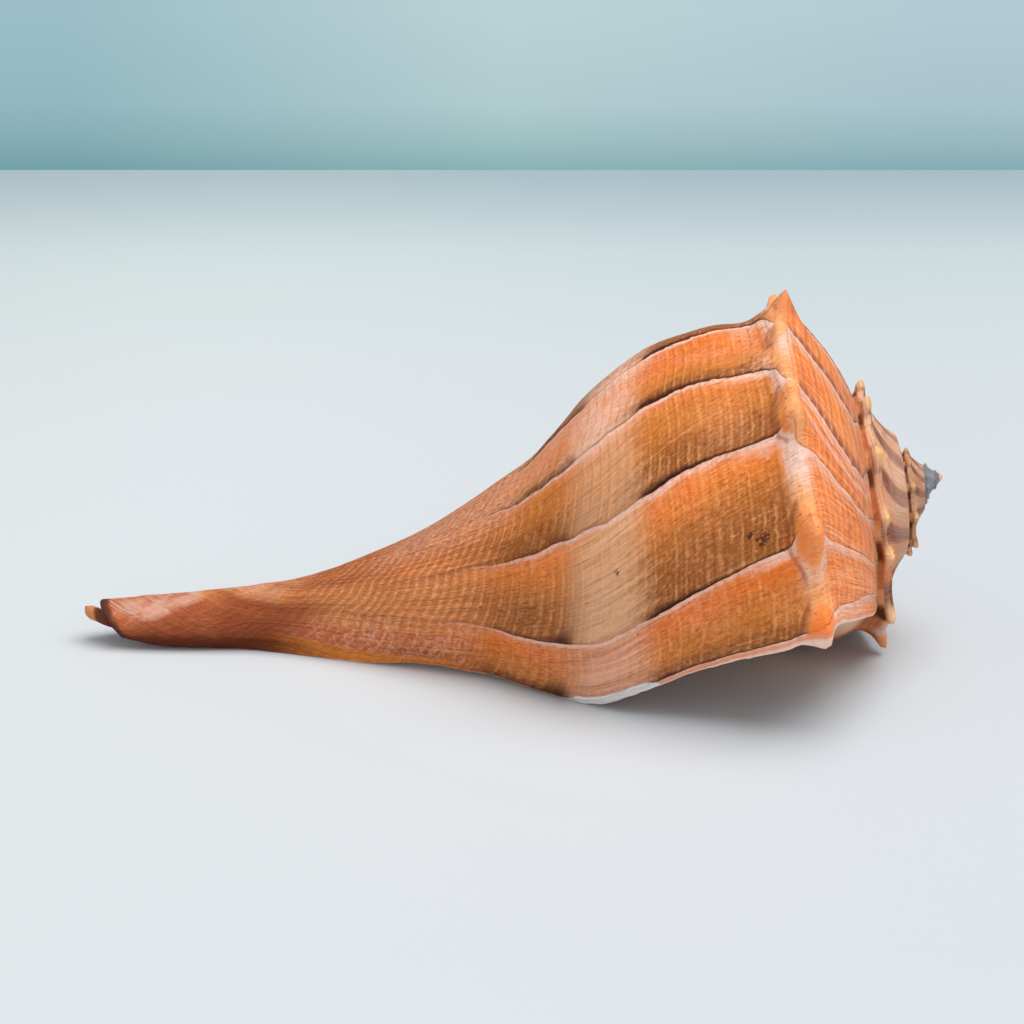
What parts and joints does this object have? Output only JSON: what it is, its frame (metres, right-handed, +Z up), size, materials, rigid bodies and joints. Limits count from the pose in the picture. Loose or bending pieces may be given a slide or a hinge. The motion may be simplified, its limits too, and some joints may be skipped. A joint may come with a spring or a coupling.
{
  "type": "lightning whelk shell",
  "caption": "Empty left-handed whelk shell lying on its aperture, with a knobbed shoulder, low spire and long open siphonal canal.",
  "frame": {"origin": "centre of the bounding box's footprint, on the ground the shell lies on", "axes": "+X from the canal's tip towards the spire, +Z up from the ground, -Y the side of the outer lip"},
  "size_m": [0.1512, 0.0782, 0.0651],
  "materials": {
    "shell": "satin aragonite shell, orange and tan with dark brown growth streaks and a smooth peach inside"
  },
  "bodies": {
    "root": {"shell": "shell"}
  },
  "joints": []
}
